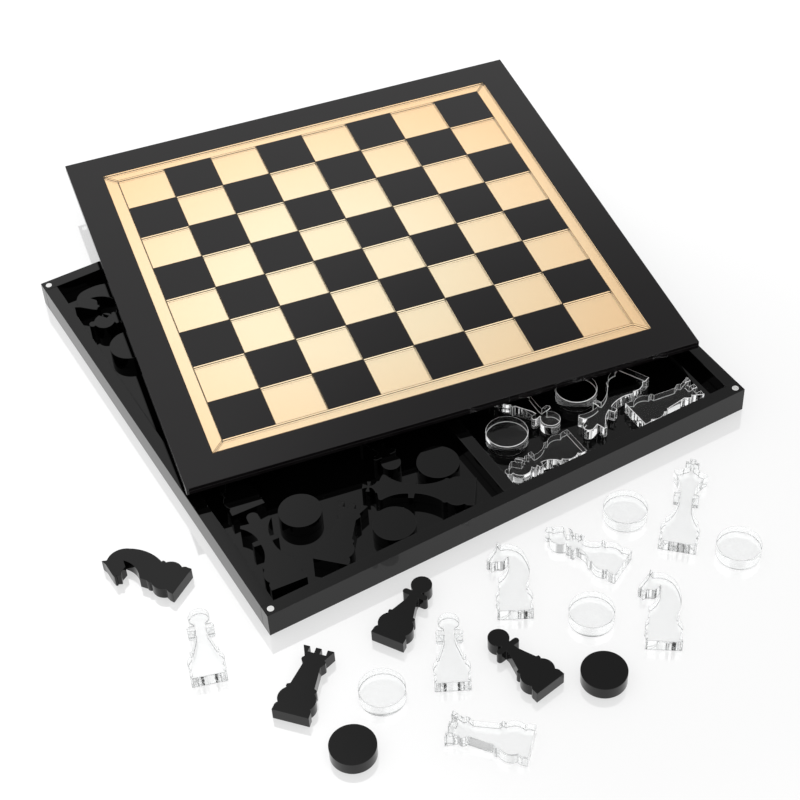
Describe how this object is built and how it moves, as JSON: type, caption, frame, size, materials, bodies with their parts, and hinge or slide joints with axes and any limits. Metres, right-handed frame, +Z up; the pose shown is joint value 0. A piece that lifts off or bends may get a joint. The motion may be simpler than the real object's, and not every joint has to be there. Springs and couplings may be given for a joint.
{
  "type": "chess set with board",
  "caption": "Square acrylic tray in two compartments, a lid inlaid with a gold and black playing board, and flat black and clear pieces lying in and in front of it.",
  "frame": {"origin": "centre of the tray's underside, where it rests on the table", "axes": "+Z up out of the tray, +X along the front wall to the right, +Y from the front wall to the back wall"},
  "size_m": [0.5127, 0.66, 0.0345],
  "materials": {
    "tray_black": "polished black acrylic",
    "lid_black": "polished black acrylic",
    "gold_mirror": "gold mirror acrylic, silvered on its underside",
    "magnet_nickel": "nickel plated",
    "piece_black": "polished black acrylic",
    "clear_acrylic": "polished clear acrylic, seen right through"
  },
  "bodies": {
    "tray": {"tray_floor": "tray_black", "tray_wall_front": "tray_black", "tray_wall_back": "tray_black", "tray_wall_left": "tray_black", "tray_wall_right": "tray_black", "tray_divider": "tray_black", "tray_magnets": "magnet_nickel", "hidden_pawns_black": "piece_black", "hidden_discs_black": "piece_black", "hidden_pawns_clear": "clear_acrylic", "hidden_discs_clear": "clear_acrylic"},
    "lid": {"lid_panel": "lid_black", "lid_magnets": "magnet_nickel", "lid_surround": "lid_black", "gold_border_front": "gold_mirror", "gold_border_right": "gold_mirror", "gold_border_back": "gold_mirror", "gold_border_left": "gold_mirror", "black_squares": "lid_black", "gold_squares": "gold_mirror"},
    "loose_rook_black": {"loose_rook_black": "piece_black"},
    "loose_pawn_black_1": {"loose_pawn_black_1": "piece_black"},
    "loose_pawn_black_2": {"loose_pawn_black_2": "piece_black"},
    "loose_knight_black": {"loose_knight_black": "piece_black"},
    "loose_disc_black_1": {"loose_disc_black_1": "piece_black"},
    "loose_disc_black_2": {"loose_disc_black_2": "piece_black"},
    "loose_king_clear": {"loose_king_clear": "clear_acrylic"},
    "loose_bishop_clear": {"loose_bishop_clear": "clear_acrylic"},
    "loose_knight_clear_1": {"loose_knight_clear_1": "clear_acrylic"},
    "loose_knight_clear_2": {"loose_knight_clear_2": "clear_acrylic"},
    "loose_rook_clear": {"loose_rook_clear": "clear_acrylic"},
    "loose_pawn_clear_1": {"loose_pawn_clear_1": "clear_acrylic"},
    "loose_pawn_clear_2": {"loose_pawn_clear_2": "clear_acrylic"},
    "loose_disc_clear_1": {"loose_disc_clear_1": "clear_acrylic"},
    "loose_disc_clear_2": {"loose_disc_clear_2": "clear_acrylic"},
    "loose_disc_clear_3": {"loose_disc_clear_3": "clear_acrylic"},
    "loose_disc_clear_4": {"loose_disc_clear_4": "clear_acrylic"},
    "stored_queen_black": {"stored_queen_black": "piece_black"},
    "stored_king_black": {"stored_king_black": "piece_black"},
    "stored_rook_black": {"stored_rook_black": "piece_black"},
    "stored_knight_black": {"stored_knight_black": "piece_black"},
    "stored_bishop_black_1": {"stored_bishop_black_1": "piece_black"},
    "stored_bishop_black_2": {"stored_bishop_black_2": "piece_black"},
    "stored_pawn_black": {"stored_pawn_black": "piece_black"},
    "stored_disc_black_1": {"stored_disc_black_1": "piece_black"},
    "stored_disc_black_2": {"stored_disc_black_2": "piece_black"},
    "stored_disc_black_3": {"stored_disc_black_3": "piece_black"},
    "stored_disc_black_4": {"stored_disc_black_4": "piece_black"},
    "stored_queen_clear": {"stored_queen_clear": "clear_acrylic"},
    "stored_bishop_clear": {"stored_bishop_clear": "clear_acrylic"},
    "stored_rook_clear": {"stored_rook_clear": "clear_acrylic"},
    "stored_pawn_clear": {"stored_pawn_clear": "clear_acrylic"},
    "stored_disc_clear_1": {"stored_disc_clear_1": "clear_acrylic"},
    "stored_disc_clear_2": {"stored_disc_clear_2": "clear_acrylic"}
  },
  "joints": [
    {"name": "lid_lift", "type": "slide", "parent": "tray", "child": "lid", "axis": [0, 0, 1], "range_m": [0, 0.1]},
    {"name": "loose_rook_black_lift", "type": "slide", "parent": "tray", "child": "loose_rook_black", "axis": [0, 0, 1], "range_m": [0, 0.05]},
    {"name": "loose_pawn_black_1_lift", "type": "slide", "parent": "tray", "child": "loose_pawn_black_1", "axis": [0, 0, 1], "range_m": [0, 0.05]},
    {"name": "loose_pawn_black_2_lift", "type": "slide", "parent": "tray", "child": "loose_pawn_black_2", "axis": [0, 0, 1], "range_m": [0, 0.05]},
    {"name": "loose_knight_black_lift", "type": "slide", "parent": "tray", "child": "loose_knight_black", "axis": [0, 0, 1], "range_m": [0, 0.05]},
    {"name": "loose_disc_black_1_lift", "type": "slide", "parent": "tray", "child": "loose_disc_black_1", "axis": [0, 0, 1], "range_m": [0, 0.05]},
    {"name": "loose_disc_black_2_lift", "type": "slide", "parent": "tray", "child": "loose_disc_black_2", "axis": [0, 0, 1], "range_m": [0, 0.05]},
    {"name": "loose_king_clear_lift", "type": "slide", "parent": "tray", "child": "loose_king_clear", "axis": [0, 0, 1], "range_m": [0, 0.05]},
    {"name": "loose_bishop_clear_lift", "type": "slide", "parent": "tray", "child": "loose_bishop_clear", "axis": [0, 0, 1], "range_m": [0, 0.05]},
    {"name": "loose_knight_clear_1_lift", "type": "slide", "parent": "tray", "child": "loose_knight_clear_1", "axis": [0, 0, 1], "range_m": [0, 0.05]},
    {"name": "loose_knight_clear_2_lift", "type": "slide", "parent": "tray", "child": "loose_knight_clear_2", "axis": [0, 0, 1], "range_m": [0, 0.05]},
    {"name": "loose_rook_clear_lift", "type": "slide", "parent": "tray", "child": "loose_rook_clear", "axis": [0, 0, 1], "range_m": [0, 0.05]},
    {"name": "loose_pawn_clear_1_lift", "type": "slide", "parent": "tray", "child": "loose_pawn_clear_1", "axis": [0, 0, 1], "range_m": [0, 0.05]},
    {"name": "loose_pawn_clear_2_lift", "type": "slide", "parent": "tray", "child": "loose_pawn_clear_2", "axis": [0, 0, 1], "range_m": [0, 0.05]},
    {"name": "loose_disc_clear_1_lift", "type": "slide", "parent": "tray", "child": "loose_disc_clear_1", "axis": [0, 0, 1], "range_m": [0, 0.05]},
    {"name": "loose_disc_clear_2_lift", "type": "slide", "parent": "tray", "child": "loose_disc_clear_2", "axis": [0, 0, 1], "range_m": [0, 0.05]},
    {"name": "loose_disc_clear_3_lift", "type": "slide", "parent": "tray", "child": "loose_disc_clear_3", "axis": [0, 0, 1], "range_m": [0, 0.05]},
    {"name": "loose_disc_clear_4_lift", "type": "slide", "parent": "tray", "child": "loose_disc_clear_4", "axis": [0, 0, 1], "range_m": [0, 0.05]},
    {"name": "stored_queen_black_lift", "type": "slide", "parent": "tray", "child": "stored_queen_black", "axis": [0, 0, 1], "range_m": [0, 0.05]},
    {"name": "stored_king_black_lift", "type": "slide", "parent": "tray", "child": "stored_king_black", "axis": [0, 0, 1], "range_m": [0, 0.05]},
    {"name": "stored_rook_black_lift", "type": "slide", "parent": "tray", "child": "stored_rook_black", "axis": [0, 0, 1], "range_m": [0, 0.05]},
    {"name": "stored_knight_black_lift", "type": "slide", "parent": "tray", "child": "stored_knight_black", "axis": [0, 0, 1], "range_m": [0, 0.009]},
    {"name": "stored_bishop_black_1_lift", "type": "slide", "parent": "tray", "child": "stored_bishop_black_1", "axis": [0, 0, 1], "range_m": [0, 0.009]},
    {"name": "stored_bishop_black_2_lift", "type": "slide", "parent": "tray", "child": "stored_bishop_black_2", "axis": [0, 0, 1], "range_m": [0, 0.009]},
    {"name": "stored_pawn_black_lift", "type": "slide", "parent": "tray", "child": "stored_pawn_black", "axis": [0, 0, 1], "range_m": [0, 0.009]},
    {"name": "stored_disc_black_1_lift", "type": "slide", "parent": "tray", "child": "stored_disc_black_1", "axis": [0, 0, 1], "range_m": [0, 0.05]},
    {"name": "stored_disc_black_2_lift", "type": "slide", "parent": "tray", "child": "stored_disc_black_2", "axis": [0, 0, 1], "range_m": [0, 0.05]},
    {"name": "stored_disc_black_3_lift", "type": "slide", "parent": "tray", "child": "stored_disc_black_3", "axis": [0, 0, 1], "range_m": [0, 0.05]},
    {"name": "stored_disc_black_4_lift", "type": "slide", "parent": "tray", "child": "stored_disc_black_4", "axis": [0, 0, 1], "range_m": [0, 0.009]},
    {"name": "stored_queen_clear_lift", "type": "slide", "parent": "tray", "child": "stored_queen_clear", "axis": [0, 0, 1], "range_m": [0, 0.009]},
    {"name": "stored_bishop_clear_lift", "type": "slide", "parent": "tray", "child": "stored_bishop_clear", "axis": [0, 0, 1], "range_m": [0, 0.05]},
    {"name": "stored_rook_clear_lift", "type": "slide", "parent": "tray", "child": "stored_rook_clear", "axis": [0, 0, 1], "range_m": [0, 0.05]},
    {"name": "stored_pawn_clear_lift", "type": "slide", "parent": "tray", "child": "stored_pawn_clear", "axis": [0, 0, 1], "range_m": [0, 0.009]},
    {"name": "stored_disc_clear_1_lift", "type": "slide", "parent": "tray", "child": "stored_disc_clear_1", "axis": [0, 0, 1], "range_m": [0, 0.05]},
    {"name": "stored_disc_clear_2_lift", "type": "slide", "parent": "tray", "child": "stored_disc_clear_2", "axis": [0, 0, 1], "range_m": [0, 0.009]}
  ]
}
